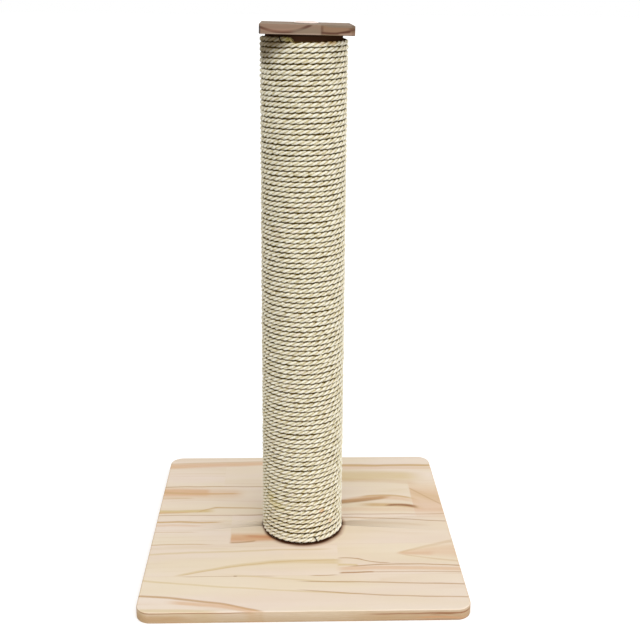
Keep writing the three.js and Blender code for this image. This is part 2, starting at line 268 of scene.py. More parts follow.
def pine(name, glue_lines, end_joints, blocks, streaks, warm, cool, deep, half_length, painted_foot_shadows=()):
    """Glued pine with its grain along X, in millimetres. The block that a point lies in picks a pith,
    a drift and a tint. Growth rings lie round the pith, whose distance drifts along X and wobbles with
    a stretched noise. Late wood darkens each ring's outer edge, and streaks lie over the rings. Where a
    post stands on it, round marks of painted shadow darken the top at its foot."""
    material, shader, place = finish(name)
    place = place.stretched(1 / mm, 1 / mm, 1 / mm)
    x, y, z = place.axes()
    block = 0.0
    for line in glue_lines:
        block = (y > line) + block
    for number, (joint, low, high) in enumerate(end_joints):
        block = block + (x > joint) * (y > low) * (high - y > 0.0) * (len(glue_lines) + 1.0 + number)
    # A ramp holds each block's own pith (across and up), drift and tint, each from 0 to 1. Its stops
    # stand evenly, one for each block, and a block's number picks the middle of its own stretch.
    most_stops = 32
    stops = [(number / most_stops, values) for number, values in enumerate(blocks)]
    picked = block.node(
        "ValToRGB", {"stops": stops, "interpolation": "CONSTANT"}, {0: (block + 0.5) / most_stops}
    )
    across, up, drift = picked.axes()
    tint = Socket(picked.output.node.outputs["Alpha"])

    wobble = place.stretched(0.006, 0.03, 0.03).noise(2.0, 0.5, block * 3.7)
    pith_range, most_drift, wobble_depth, ring_width = 400.0, 0.12, 3.2, 7.5
    pith_y = y - (across - 0.5) * pith_range
    pith_z = z - (up - 0.5) * pith_range
    from_pith = (pith_y * pith_y + pith_z * pith_z) ** 0.5
    rings = from_pith + x * (drift - 0.5) * most_drift + wobble * wobble_depth
    growth = (rings / ring_width).math("FRACT")
    late = growth ** 5.0 * growth.ease(1.0, 0.93)
    showing = place.stretched(0.008, 0.05, 0.05).noise(1.0, 0.5, block * 1.9).ease(-0.3, 1.3)
    bands = place.stretched(0.004, 0.045, 0.045).noise(2.0, 0.55, block * 5.3)
    blush = place.stretched(0.005, 0.028, 0.028).noise(2.0, 0.5, block * 2.3)
    fibre = place.stretched(0.05, 2.2, 2.2).noise(3.0, 0.6)

    depth = tint * 0.55 + bands * 0.13 + late * showing * 0.5 + fibre * 0.03
    wood = depth.ease(-0.35, 1.15).mix(blush.ease(-0.8, 0.8).mix(warm, cool), deep)
    wavy_y = y + place.stretched(0.02, 0.03, 0.03).noise(1.0) * 1.2
    wavy_z = z + place.stretched(0.03, 0.02, 0.03).noise(1.0) * 0.4
    grainy = fibre.ease(-1.6, 0.8) * 0.45 + 0.55
    # A streak is a parabola through its places at the start, middle and end. One on the front shows only
    # where the face stands upright.
    facing = place.node("NewGeometry", output=1)
    upright = abs(facing.axes()[2]).ease(0.85, 0.4)
    for plane, start, end, first, middle, last, start_width, end_width, soft, strength, shade in streaks:
        share = (x - start) * (1 / (end - start))
        slope, bend = 4 * middle - 3 * first - last, 2 * first - 4 * middle + 2 * last
        line = share * (share * bend + slope) + first
        width = share * (end_width - start_width) + start_width
        offset = abs((wavy_y if plane == "top" else wavy_z) - line) / width
        reach = (x - start).ease(-soft, soft) * (end - x).ease(-soft, soft)
        if plane == "front":
            reach = reach * upright
        wood = (offset.ease(1.0, 0.25) * reach * grainy * strength).mix(wood, shade)

    # The cut ends of the staves are darker, and glue lines show as hairlines.
    ends = abs(x).ease(half_length - 2.5, half_length - 0.3)
    wood = (ends * 0.35).mix(wood, deep)
    for line in glue_lines:
        hair = abs(y - line).ease(0.6, 0.1) * 0.14
        wood = hair.mix(wood, deep)
    # Painted shadow: round marks darken the top round a post's foot.
    for middle_x, middle_y, outer, inner, stir, strength, shade in painted_foot_shadows:
        away_x, away_y = x - middle_x, y - middle_y
        away = (away_x * away_x + away_y * away_y) ** 0.5 + bands * stir
        upper_half = z > half_length / 30
        wood = (away.ease(outer, inner) * upper_half * strength).mix(wood, shade)
    relief = fibre * 0.5 + late * showing
    coat(
        material, shader, Base_Color=wood, Roughness=fibre * 0.03 + 0.6,
        Normal=bumped(relief, 0.25, 0.15 * mm), Specular_IOR_Level=0.15,
    )
    return material


board_low, board_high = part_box("base_board")
board_side = board_high.x - board_low.x
board_thickness = board_high.z
board_corner_radius = 17 * mm
board_arris = 1.5 * mm
counterbore_radius = 12 * mm
counterbore_depth = 7.5 * mm
bolt_hole_radius = 4.3 * mm

base_board = board(
    "pine_base_board", board_side, board_thickness, board_corner_radius, board_arris,
    hole=[
        (bolt_hole_radius, board_thickness),
        (bolt_hole_radius, counterbore_depth),
        (counterbore_radius, counterbore_depth),
        (counterbore_radius, 0),
    ],
)

pink_pine = colour(234, 220, 208)
yellow_pine = colour(232, 219, 197)
tan_pine = colour(198, 164, 116)
orange_pine = colour(211, 169, 128)
golden_pine = colour(208, 184, 132)
# The front face's darker tone below is partly the wood's own and partly painted shade.
edge_pine_and_painted_shade = colour(176, 150, 116)
heartwood = colour(200, 144, 104)
brown_line = colour(170, 126, 76)
dark_knot = colour(140, 92, 58)
# The two colours below are painted shadow round the post's foot: a soft halo and a dark contact ring.
painted_shadow_halo = colour(146, 96, 60)
painted_contact_shadow = colour(66, 35, 14)

# Streaks over the rings, in millimetres: face, start and end along X, place across (or up) at the start,
# middle and end, half width at the start and end, softness of the ends, strength and colour.
board_streaks = [
    # back stave
    ("top", -250, -20, 158, 166, 170, 13, 8, 14, 0.75, orange_pine),
    ("top", -250, -40, 168, 173, 176, 3, 2, 14, 0.45, tan_pine),
    ("top", 30, 250, 162, 162, 160, 6, 4, 16, 1.0, tan_pine),
    ("top", 50, 250, 155, 154, 150, 9, 4, 16, 0.4, orange_pine),
    ("top", 20, 165, 130, 131, 128, 27, 18, 20, 0.75, golden_pine),
    ("top", 40, 160, 118, 116, 108, 8, 8, 12, 0.35, tan_pine),
    ("top", -250, -40, 101, 101, 100, 2.4, 1.6, 8, 0.7, brown_line),
    # second stave from the back
    ("top", -250, -128, 88, 86, 84, 17, 14, 5, 0.8, orange_pine),
    ("top", -250, -84, 84, 82, 80, 24, 18, 12, 0.45, orange_pine),
    ("top", -250, -90, 95, 83, 80, 4, 3, 5, 0.7, tan_pine),
    ("top", -250, -150, 70, 69, 68, 6, 3, 8, 0.5, tan_pine),
    ("top", -160, -84, 80, 81, 80, 4, 2.5, 6, 0.55, orange_pine),
    ("top", -250, -120, 31, 32, 34, 8, 6, 8, 0.95, golden_pine),
    ("top", -250, -150, 28, 29, 30, 3, 2, 12, 0.8, orange_pine),
    ("top", -138, -112, 31, 38, 42, 2.2, 2.4, 5, 0.8, tan_pine),
    ("top", -118, -40, 42, 41, 38, 2.8, 2.4, 5, 0.8, tan_pine),
    ("top", -250, 250, 23, 22, 22, 1.5, 1.5, 8, 0.6, brown_line),
    ("top", -84, -40, 23, 22, 22, 1.5, 1.5, 6, 0.6, brown_line),
    ("top", 151, 205, 66, 60, 56, 60, 60, 1.2, 0.55, orange_pine),
    ("top", 151, 205, 84, 66, 52, 14, 20, 1.2, 0.35, tan_pine),
    ("top", 151, 205, 92, 60, 28, 3, 3, 3, 0.35, brown_line),
    ("top", 20, 118, 53, 58, 68, 10, 6, 10, 1.0, colour(166, 124, 76)),
    ("top", 84, 152, 68, 72, 63, 4, 3.4, 10, 0.9, tan_pine),
    ("top", 60, 152, 60, 67, 57, 7, 8, 14, 0.5, orange_pine),
    ("top", 84, 156, 47, 46, 40, 7, 7, 14, 0.9, tan_pine),
    ("top", 116, 154, 45, 45, 40, 3.4, 5.0, 6, 0.9, dark_knot),
    ("top", 40, 250, 36, 34, 30, 8, 8, 20, 0.35, orange_pine),
    # middle stave
    ("top", -250, -108, 6, 6, 5, 4.0, 2.6, 10, 0.95, colour(196, 160, 108)),
    ("top", -250, -130, -1, -2, -3, 6, 3, 14, 0.45, orange_pine),
    ("top", -250, -138, -19, -19, -20, 2, 1.6, 10, 0.5, tan_pine),
    ("top", -91, -20, -34, -34, -33, 15, 12, 1.2, 0.95, orange_pine),
    ("top", -91, -20, -40, -36, -32, 10, 8, 3, 0.35, heartwood),
    ("top", -72, -20, -31, -33, -34, 4, 5, 8, 0.8, heartwood),
    ("top", -91, -60, -46, -45, -42, 2.4, 2.4, 3, 0.7, brown_line),
    ("top", 40, 250, 15, 8, -9, 1.8, 1.8, 14, 0.65, brown_line),
    ("top", 40, 160, 5, 1, -6, 5, 4, 16, 0.25, tan_pine),
    ("top", 118, 250, -72, -68, -72, 4, 38, 5, 0.5, orange_pine),
    ("top", 120, 192, -71, -57, -45, 3, 5, 6, 0.4, tan_pine),
    ("top", 122, 160, -73, -74, -74, 4, 8, 6, 0.25, heartwood),
    ("top", 124, 200, -76, -86, -93, 2, 2.4, 5, 0.45, tan_pine),
    # second stave from the front
    ("top", -250, -118, -49, -49, -50, 2.2, 1.8, 12, 0.7, tan_pine),
    ("top", -250, 30, -75, -67, -62, 3.2, 2.4, 14, 0.6, golden_pine),
    ("top", -250, -90, -58, -58, -60, 5, 4, 14, 0.25, golden_pine),
    ("top", -150, 44, -117, -93, -90, 3, 8, 8, 0.65, golden_pine),
    ("top", -144, 44, -116, -93, -86, 1.2, 1.8, 6, 0.5, tan_pine),
    ("top", 42, 66, -97, -97, -98, 4, 3, 2, 0.8, golden_pine),
    ("top", 44, 72, -82, -82, -86, 1.4, 1.6, 4, 0.8, brown_line),
    ("top", 68, 104, -84, -92, -94, 1.6, 1.2, 4, 0.8, brown_line),
    ("top", 58, 250, -101, -98, -112, 1.8, 1.8, 8, 0.8, brown_line),
    ("top", 44, 250, -106, -106, -114, 6, 5, 8, 0.6, orange_pine),
    ("top", 44, 84, -115, -114, -114, 2.6, 1.8, 3, 0.95, brown_line),
    ("top", 78, 250, -114, -114, -119, 1.5, 1.5, 8, 0.6, brown_line),
    # front stave
    ("top", -142, -36, -119, -120, -120, 0.8, 0.8, 8, 0.7, brown_line),
    ("top", 10, 38, -119, -119, -119, 1.2, 1.2, 6, 0.8, brown_line),
    ("top", -83, -79, -120, -120, -120, 1.3, 1.3, 1, 1.0, dark_knot),
    ("top", -250, 60, -118, -141, -157, 2.6, 2.2, 16, 0.6, golden_pine),
    ("top", -80, 60, -119, -127, -136, 2.4, 1.8, 12, 0.5, golden_pine),
    ("top", 0, 250, -131, -137, -145, 1.7, 1.9, 14, 0.7, brown_line),
    ("top", 0, 250, -149, -163, -166, 1.6, 1.8, 14, 0.65, brown_line),
    ("top", -250, -50, -154, -163, -188, 2.8, 3.0, 8, 0.85, colour(182, 142, 94)),
    ("top", -150, -52, -171, -178, -190, 5, 6, 12, 0.7, orange_pine),
    ("top", -230, -100, -187, -186, -189, 5, 5, 14, 0.55, golden_pine),
    # front edge: its even darker tone is partly the wood's own and partly painted shade, and thin dark
    # lines along its foot are painted shadow
    ("front", -250, 250, 7, 7, 7, 40, 40, 5, 0.72, edge_pine_and_painted_shade),
    ("front", -250, 250, 2, 2, 2, 9, 9, 5, 0.5, edge_pine_and_painted_shade),
    ("front", -250, -130, 6, 6, 6, 9, 5, 20, 0.45, brown_line),
    ("front", 60, 250, 7, 7, 7, 9, 9, 30, 0.4, brown_line),
    ("front", 76, 192, 9.5, 9.5, 10, 1.3, 1.3, 14, 0.7, dark_knot),
    ("front", 130, 200, 10.2, 10.4, 10.6, 0.8, 1.0, 12, 0.8, dark_knot),
    # painted shadow: a thin dark line along the foot of the front face
    ("front", 60, 210, 0.6, 0.6, 0.9, 1.4, 2.2, 20, 0.9, dark_knot),
    ("front", 144, 170, 8.2, 8.6, 8.8, 0.7, 1.0, 6, 0.95, dark_knot),
    ("front", 130, 180, 4.5, 4.5, 3.5, 1.5, 1.8, 14, 0.7, heartwood),
    # painted shadow along the foot of the front face
    ("front", -250, 250, 1, 1, 1, 1.4, 1.4, 5, 0.5, brown_line),
    ("front", -188, -60, 12.7, 12.7, 12.7, 1.2, 0.8, 10, 0.7, dark_knot),
]

base_board_finish = pine(
    "pine_board",
    glue_lines=[-119, -50, 23, 98],
    end_joints=[(43, -119, -50), (-92, -50, 23), (150, 23, 98), (-108, 98, 250)],
    # Pith across, pith up, drift and tint of each stave from the front, then of the blocks past the joints.
    blocks=[
        (0.20, 0.10, 0.30, 0.10),
        (0.95, 0.20, 0.62, 0.08),
        (0.05, 0.75, 0.45, 0.06),
        (0.85, 0.05, 0.55, 0.14),
        (0.10, 0.15, 0.50, 0.10),
        (0.30, 0.40, 0.40, 0.24),
        (0.90, 0.85, 0.56, 0.16),
        (0.15, 0.10, 0.60, 0.22),
        (0.25, 0.05, 0.50, 0.12),
    ],
    streaks=board_streaks,
    warm=pink_pine,
    cool=yellow_pine,
    deep=tan_pine,
    half_length=board_side / 2 / mm,
    # A soft halo and a dark ring of painted contact shadow round the post, whose skin is 51 mm from its
    # middle: the mark's middle, outer and inner radius of its fade, how much the bands stir it, strength
    # and colour.
    painted_foot_shadows=[
        (2.0, -3.6, 56.6, 50.4, 1.5, 0.6, painted_shadow_halo),
        (0.8, -1.8, 54.0, 49.8, 1.0, 1.0, painted_contact_shadow),
    ],
)
wear(base_board, base_board_finish, "pine_board", "base_board")

# ---------------------------------------------------------------- bolt and washer
# An M8 bolt with a hexagon socket comes up through a washer in a counterbore under the board, and
# draws the bottom plug down onto the board. Both are zinc plated steel.


def turned(name, rows, steps=48, sharp=35, place=None):
    """Rows of (radius, height) turned about Z. A radius may be an array over the angle, so that a row
    can be a hexagon or a cross. place is a matrix for the finished points."""
    angle = 2 * np.pi * np.arange(steps) / steps
    points = np.stack([
        np.stack([
            radius * np.cos(angle),
            radius * np.sin(angle),
            np.broadcast_to(height, steps).astype(float),
        ], 1)
        for radius, height in rows
    ])
    if place is not None:
        turn = np.array(place.to_3x3())
        points = points @ turn.T + np.array(place.translation)
    return piece(name, points, sharp=sharp)


def thread(low, high, core, crest, pitch, steps, runout, rows_a_turn=8, sharpness=1.0):
    """Rows of a screw thread: the radius rises from core to crest once a pitch, as a triangle in height
    less the angle's share of a turn, and fades out over the runout at both ends."""
    heights = np.linspace(low, high, int((high - low) / pitch * rows_a_turn) + 1)
    share = np.arange(steps) / steps
    fade = np.clip(np.minimum(heights - low, high - heights) / runout, 0, 1)
    phase = (heights[:, None] / pitch - share) % 1
    ridge = np.clip(1 - np.abs(2 * phase - 1) * sharpness, 0, 1)
    return list(zip(core + (crest - core) * ridge * fade[:, None], heights))


def zinc(name, tone, roughness):
    """Zinc plate: a bright bluish grey whose tone and gloss vary in soft spots, with fine scratches."""
    material, shader, place = finish(name)
    spots = place.stretched(260, 260, 260).noise(3.0, 0.6)
    scratches = place.stretched(900, 5200, 900).noise(2.0, 0.7)
    warm = colour(tone + 12, tone + 4, tone - 14)
    cool = colour(tone - 16, tone - 10, tone - 2)
    coat(
        material, shader, Base_Color=spots.ease(-1.2, 1.2).mix(cool, warm), Metallic=1.0,
        Roughness=spots * 0.05 + roughness + scratches * 0.03,
        Normal=bumped(scratches, 0.15, 0.02 * mm),
    )
    return material


bright_zinc = zinc("zinc_plate", 205, 0.34)

washer_low, washer_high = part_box("base_washer")
washer_radius = (washer_high.x - washer_low.x) / 2
washer_arris = 0.25 * mm
washer = turned("plain_washer", [
    (bolt_hole_radius, washer_low.z),
    (washer_radius - washer_arris, washer_low.z),
    (washer_radius, washer_low.z + washer_arris),
    (washer_radius, washer_high.z - washer_arris),
    (washer_radius - washer_arris, washer_high.z),
    (bolt_hole_radius, washer_high.z),
    (bolt_hole_radius, washer_low.z),
], steps=96)
wear(washer, bright_zinc, "zinced_steel", "base_washer")

bolt_low, bolt_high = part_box("base_bolt")
bolt_steps = 48
bolt_angle = 2 * np.pi * np.arange(bolt_steps) / bolt_steps
socket_depth = 3 * mm
socket_apothem = 2.5 * mm
socket_chamfer = 0.25 * mm
socket_radius = socket_apothem / np.cos((bolt_angle + np.pi / 6) % (np.pi / 3) - np.pi / 6)
head_radius = (bolt_high.x - bolt_low.x) / 2
head_arris = 0.7 * mm
head_top = bolt_low.z + 5.2 * mm
shank_radius = 3.95 * mm
core_radius = 3.3 * mm
thread_pitch = 1.25 * mm
plain_shank = 8 * mm
bolt_chamfer = 1 * mm
bend = np.linspace(0, np.pi / 2, 6)
bolt_rows = [
    (0, bolt_low.z + socket_depth + 0.6 * mm),
    (socket_radius * 0.96, bolt_low.z + socket_depth),
    (socket_radius, bolt_low.z + socket_chamfer),
    (socket_radius + socket_chamfer, bolt_low.z),
    *[
        (head_radius - head_arris * (1 - np.sin(a)), bolt_low.z + head_arris * (1 - np.cos(a)))
        for a in bend
    ],
    (head_radius, head_top),
    (shank_radius, head_top),
    (shank_radius, head_top + plain_shank),
    *thread(
        head_top + plain_shank, bolt_high.z - bolt_chamfer, core_radius, shank_radius, thread_pitch,
        bolt_steps, runout=1.2 * mm,
    ),
    (core_radius - 0.3 * mm, bolt_high.z),
    (0, bolt_high.z),
]
bolt = turned("hexagon_socket_bolt", bolt_rows, bolt_steps)
wear(bolt, bright_zinc, "zinced_steel", "base_bolt")

# ---------------------------------------------------------------- base screws
# Two countersunk cross-head wood screws, one each side of the bolt, come up through the board into the
# plug and stop the post from turning.


def cross_recess(steps, wing, half_width, core):
    """The radius of a cross-shaped recess at each angle: a wing's straight sides end at its length, and
    between two wings the radius is that of the core."""
    angle = 2 * np.pi * np.arange(steps) / steps
    off = np.abs((angle + np.pi / 4) % (np.pi / 2) - np.pi / 4)
    return np.maximum(np.minimum(wing, half_width / np.maximum(np.sin(off), 1e-6)), core)


def wood_screw(name, length, place):
    """A wood screw along +Z, its head's face at z = 0: recess, face, countersink, neck, thread, point."""
    steps = 48
    head, neck, core, crest = 4 * mm, 1.9 * mm, 1.35 * mm, 2.0 * mm
    countersink, plain, point = 2.1 * mm, 4 * mm, 4 * mm
    # The recess widens from its floor to the face: wing, half width, core and depth, in millimetres.
    recess = (0.9, 0.3, 0.5, 2.0), (2.2, 0.45, 0.8, 0.15), (2.4, 0.6, 0.95, 0)
    rows = [
        (0, 2.4 * mm),
        *[
            (cross_recess(steps, wing * mm, half_width * mm, inner * mm), depth * mm)
            for wing, half_width, inner, depth in recess
        ],
        (head - 0.15 * mm, 0),
        (head, 0.2 * mm),
        (neck, countersink),
        (neck, countersink + plain),
        *thread(countersink + plain, length - point, core, crest, 1.8 * mm, steps, 1.5 * mm, 10, 2.2),
        (0, length),
    ]
    return turned(name, rows, steps, place=place)


screw_head_hole = 4.3 * mm
screw_neck_hole = 2.3 * mm
for side in ("left", "right"):
    node = f"base_screw_{side}"
    low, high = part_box(node)
    place = Matrix.Translation(((low.x + high.x) / 2, (low.y + high.y) / 2, low.z))
    screw = wood_screw(f"countersunk_screw_{side}", high.z - low.z, place)
    wear(screw, bright_zinc, "zinced_steel", node)
    # The screw's countersunk hole is cut out of the board, and goes a little past both its faces.
    hole = turned(f"hole_{side}", [
        (0, -2 * mm),
        (screw_head_hole, -2 * mm),
        (screw_head_hole, 1 * mm),
        (screw_neck_hole, 3 * mm),
        (screw_neck_hole, board_thickness + 1 * mm),
        (0, board_thickness + 1 * mm),
    ], 64, place=Matrix.Translation((place.translation.x, place.translation.y, 0)))
    cut = base_board.modifiers.new("screw_hole", "BOOLEAN")
    cut.operation, cut.solver, cut.object = "DIFFERENCE", "EXACT", hole
    seen = base_board.evaluated_get(bpy.context.evaluated_depsgraph_get())
    base_board.data = bpy.data.meshes.new_from_object(seen)
    base_board.modifiers.clear()
    bpy.data.objects.remove(hole)

# ---------------------------------------------------------------- plugs
# Round plugs, sawn from softwood, close the tube's ends. The bolt's nut sits in the lower one, and the
# cap's screw goes into the upper one. Their solids stay as they are, and get a sawn face.


def sawn_softwood(name, pale, dark):
    """Rough softwood with its rings across the plug: a ring pattern round a pith outside the plug, and
    the saw's fine parallel marks."""
    material, shader, place = finish(name)
    place = place.stretched(1 / mm, 1 / mm, 1 / mm)
    x, y, z = place.axes()
    aside = y + 62.0
    wobble = place.stretched(0.05, 0.05, 0.02).noise(2.0)
    rings = (x * x + aside * aside) ** 0.5 + wobble * 1.5
    growth = (rings / 3.2).math("FRACT")
    fibre = place.stretched(3.0, 3.0, 0.2).noise(2.0)
    marks = (x * 0.5 + y * 0.86 + wobble * 0.3).math("SINE")
    tone = growth ** 3.0 * 0.6 + fibre * 0.08 + marks * 0.06 + 0.1
    coat(
        material, shader, Base_Color=tone.ease(0.0, 1.0).mix(pale, dark), Roughness=fibre * 0.04 + 0.8,
        Normal=bumped(marks * 0.4 + fibre * 0.5, 0.4, 0.2 * mm),
    )
    return material


def cover_solid(node, material):
    """Gives a CAD node that keeps its solid its material."""
    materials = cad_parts[node].data.materials
    materials.clear()
    materials.append(material)


plug_wood = sawn_softwood("sawn_plug_wood", colour(222, 194, 152), colour(176, 132, 88))
cover_solid("bottom_plug", plug_wood)
cover_solid("top_plug", plug_wood)

# ---------------------------------------------------------------- nut and nails
# A pronged nut is hammered into the lower plug, and flat-headed nails go through the tube's wall into
# both plugs. These and the cap's screw are hidden, so their solids stay, in dull zinc and bare steel.

dull_zinc = zinc("dull_zinc_plate", 190, 0.45)
bare_steel = zinc("bare_steel_wire", 150, 0.5)
cover_solid("tee_nut", dull_zinc)
cover_solid("cap_screw", dull_zinc)
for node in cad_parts:
    if node.startswith("plug_nail"):
        cover_solid(node, bare_steel)

# ---------------------------------------------------------------- tube
# The core is a spiral-wound cardboard tube with a dark outer ply. Only its top shows, in the shade of the
# cap. The seam of its outer ply climbs round it. Under the winding it is coloured olive: painted shade for
# the gaps between the turns, through which it shows.

tube_low, tube_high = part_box("post_tube")
tube_radius = 45 * mm
tube_bore_radius = 41 * mm
tube_arris = 0.3 * mm
tube = turned("cardboard_tube", [
    (tube_bore_radius, tube_low.z),
    (tube_radius - tube_arris, tube_low.z),
    (tube_radius, tube_low.z + tube_arris),
    *[(tube_radius, z) for z in np.linspace(tube_low.z + 20 * mm, tube_high.z - 20 * mm, 20)],
    (tube_radius, tube_high.z - tube_arris),
    (tube_radius - tube_arris, tube_high.z),
    (tube_bore_radius, tube_high.z),
    (tube_bore_radius, tube_low.z),
], steps=128)

tube_finish, shader, place = finish("dark_cardboard")
x, y, z = place.axes()
turn = y.math("ARCTAN2", x) / (2 * np.pi)
ply_width = 90 * mm
seam = abs((z / ply_width - turn).math("FRACT") - 0.5).ease(0.012, 0.004)
pulp = place.stretched(700, 700, 1600).noise(4.0, 0.65)
blotch = place.stretched(40, 40, 25).noise(2.0)
tone = (pulp * 0.2 + blotch * 0.25).ease(-1.0, 1.0).mix(colour(52, 33, 22), colour(74, 48, 32))
tone = (seam * 0.5).mix(tone, colour(26, 17, 14))
bare_from = 634 * mm
olive_below = 628 * mm
# The olive below the winding is painted shade for the gaps between turns, where the tube shows through.
painted_gap_olive = colour(118, 94, 40)
coat(
    tube_finish, shader, Base_Color=z.ease(bare_from, olive_below).mix(tone, painted_gap_olive), Roughness=0.9,
    Normal=bumped(pulp * 0.3 - seam, 0.5, 0.2 * mm), Specular_IOR_Level=0.0,
)
wear(tube, tube_finish, "cardboard", "post_tube")

# ---------------------------------------------------------------- sisal rope
# One length of three-strand sisal rope, about 6 mm thick and 31 m long, is wound on the tube in a single
# tight layer of 102 turns from the board up. Its strands are laid left-handed, and each is a loose bundle
# of pale straw fibres.

rope_low, rope_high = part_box("sisal_rope")
rope_radius = 3.1 * mm
strand_offset = 1.36 * mm
strand_radius = rope_radius - strand_offset
strand_sides = 8
lay_length = 24.79 * mm
lay_steps = 9
crowding = 0.45
rope_start_angle = np.radians(140)
level_share = 0.85
settling = 1.3
first_turn_lift = 0.4 * mm
first_turn_swell = 0.15
uneven_height = 0.17 * mm
uneven_depth = 0.14 * mm
uneven_swell = 0.07
rope_thickness = 5.6 * mm
rope_pitch = 6.03 * mm
rope_turns = (rope_high.z - rope_low.z - rope_thickness) / rope_pitch
rope_circle = tube_radius + 0.3 * mm + rope_thickness / 2
rope_foot = rope_low.z + rope_thickness / 2
lays = rope_turns * 2 * np.pi * rope_circle / lay_length


def slow_wave(t, seed, count, shortest):
    """A smooth random wave of a turn count: a sum of sines whose lengths lie between the shortest and
    eight times that, with a spread of about 1."""
    draw = np.random.default_rng(seed)
    lengths = shortest * 8 ** draw.random(count)
    starts = 2 * np.pi * draw.random(count)
    return np.sqrt(2 / count) * sum(np.sin(2 * np.pi * t / n + s) for n, s in zip(lengths, starts))


def on_first_turn(t):
    """1 along the first turn, with a short slope to 0 at each end of it."""
    return np.clip(np.minimum(t - 0.12, 0.95 - t) / 0.08, 0, 1)


def rope_line(t):
    """The rope's centre line at each turn count: its angle, distance from the axis and height. Most of
    the first turn lies level near the board, and the rest climbs over the rope's own start. That step
    fades out over the next turns into an even helix. Slow waves make the turns a little uneven."""
    part = t % 1
    climb = np.clip((part - level_share) / (1 - level_share), 0, 1)
    behind = part - climb * climb * (3 - 2 * climb)
    rise = t - behind * np.exp(-np.maximum(t - 1, 0) / settling)
    even = np.clip(t / 3, 0, 1) * np.clip((rope_turns - t) / 1.5, 0, 1)
    lift = first_turn_lift * on_first_turn(t)
    height = rope_foot + lift + rope_pitch * rise + uneven_height * slow_wave(t, 5, 24, 0.11) * even
    out = rope_circle + uneven_depth * slow_wave(t, 9, 24, 0.07)
    return rope_start_angle + 2 * np.pi * t, out, height


def strand_points(number):
    """One strand, as a grid of rings, with the rings' places along the rope. Its middle circles the
    rope's line once a lay, and its skin is a circle round that middle. The rings crowd where the strand
    lies outside, where it is seen. The last result is each point's place in the rope's section: how far
    it faces out, and how far it is from the rope's line, as shares of the rope's radius."""
    steps = np.arange(int(lays * lay_steps) + 1) / lay_steps
    lay = steps - crowding * np.sin(2 * np.pi * (steps + number / 3)) / (2 * np.pi)
    lay = np.clip(lay, 0, lays)
    t = lay / lays * rope_turns
    angle, out, height = (values[:, None] for values in rope_line(t))
    phase = 2 * np.pi * (lay + number / 3)[:, None]
    from_end = np.minimum(t, rope_turns - t) * 2 * np.pi * rope_circle
    taper = 0.8 + 0.2 * np.sqrt(np.clip(from_end / (9 * mm), 0, 1))
    fuller = first_turn_swell * on_first_turn(t)
    swell = ((1 + uneven_swell * slow_wave(t, 20 + number, 40, 0.012) + fuller) * taper)[:, None]
    around = phase + 2 * np.pi * np.arange(strand_sides) / strand_sides
    outward = swell * (strand_offset * np.cos(phase) + strand_radius * np.cos(around))
    upward = swell * (strand_offset * np.sin(phase) + strand_radius * np.sin(around))
    reach = out + outward
    points = np.stack([reach * np.cos(angle), reach * np.sin(angle), height + upward], -1)
    section = np.stack([outward, np.hypot(outward, upward)], -1) / rope_radius
    return points, lay * lay_length, section


def strand(number):
    """A strand's mesh, with a closed cap at each end. Its map runs round it from 0 to 1 and along it in
    metres of rope. Three attributes say how far a point faces out, how near the rope's skin it is, and
    how near a cut end."""
    points, along, section = strand_points(number)
    rows, columns = points.shape[:2]
    row, column = np.meshgrid(np.arange(rows - 1), np.arange(columns), indexing="ij")
    corners = [(row + r) * columns + (column + c) % columns for r, c in ((0, 0), (0, 1), (1, 1), (1, 0))]
    faces = np.stack(corners, -1).reshape(-1, 4).tolist()
    faces += [list(range(columns))[::-1], list(range((rows - 1) * columns, rows * columns))]
    mesh = bpy.data.meshes.new(f"sisal_strand_{number + 1}")
    mesh.from_pydata(points.reshape(-1, 3), [], faces)
    mesh.flip_normals()
    mesh.shade_smooth()
    across = np.stack([(column + c) / columns for c in (0, 1, 1, 0)], -1)
    length = np.stack([along[row + r] for r in (0, 0, 1, 1)], -1)
    skin = np.stack([across, length], -1).reshape(-1, 4, 2)[:, ::-1].reshape(-1, 2)
    caps = np.repeat([[0.5, along[0]], [0.5, along[-1]]], columns, 0)
    skin = np.concatenate([skin, caps]).astype(np.float32)
    mesh.uv_layers.new(name="skin").uv.foreach_set("vector", skin.ravel())
    near_end = np.exp(-np.minimum(along, along[-1] - along) / (3 * mm))
    values = {"outward": section[..., 0], "ridge": section[..., 1], "ends": np.repeat(near_end, columns)}
    for name, value in values.items():
        layer = mesh.attributes.new(name, "FLOAT", "POINT")
        layer.data.foreach_set("value", value.astype(np.float32).ravel())
    made = bpy.data.objects.new(mesh.name, mesh)
    bpy.context.scene.collection.objects.link(made)
    return made


white_straw = colour(255, 251, 236)
straw = colour(238, 224, 186)
yellow_straw = colour(236, 218, 158)
pink_straw = colour(240, 222, 208)
# The three colours below paint shade into the grooves between strands and the gaps between turns.
painted_groove_shade = colour(208, 192, 140)
painted_gap_shade = colour(132, 104, 36)
painted_deep_gap_shade = colour(76, 54, 10)
cut_straw = colour(160, 146, 70)

# Stains on the winding, and painted shade on its top turns at the left: bearing in degrees, height, half
# length and half height in millimetres, strength and colour.
stain_and_shade_circle = 51 * mm
stains_and_painted_shade = [
    (-52, 632, 10, 3.8, 0.65, colour(224, 178, 100)),
    (-68, 631, 8, 2.6, 0.35, colour(232, 186, 130)),
    (-62, 56, 6, 5, 0.5, colour(214, 150, 92)),
    (-46, 39, 5, 4, 0.45, colour(214, 156, 100)),
    (-131, 61, 20, 8, 0.4, colour(222, 204, 124)),
    (-144, 70, 10, 10, 0.45, colour(214, 196, 120)),
    # The next two rows are painted shade on the top turns at the left, not stains.
    (-155, 630, 38, 34, 0.76, colour(106, 86, 52)),
    (-126, 634, 24, 14, 0.68, colour(112, 92, 54)),
    (-107, 444, 6, 3, 0.45, colour(210, 178, 150)),
    (-128, 409, 6, 3, 0.4, colour(206, 178, 148)),
    (-82, 449, 8, 3, 0.35, colour(224, 200, 178)),
]


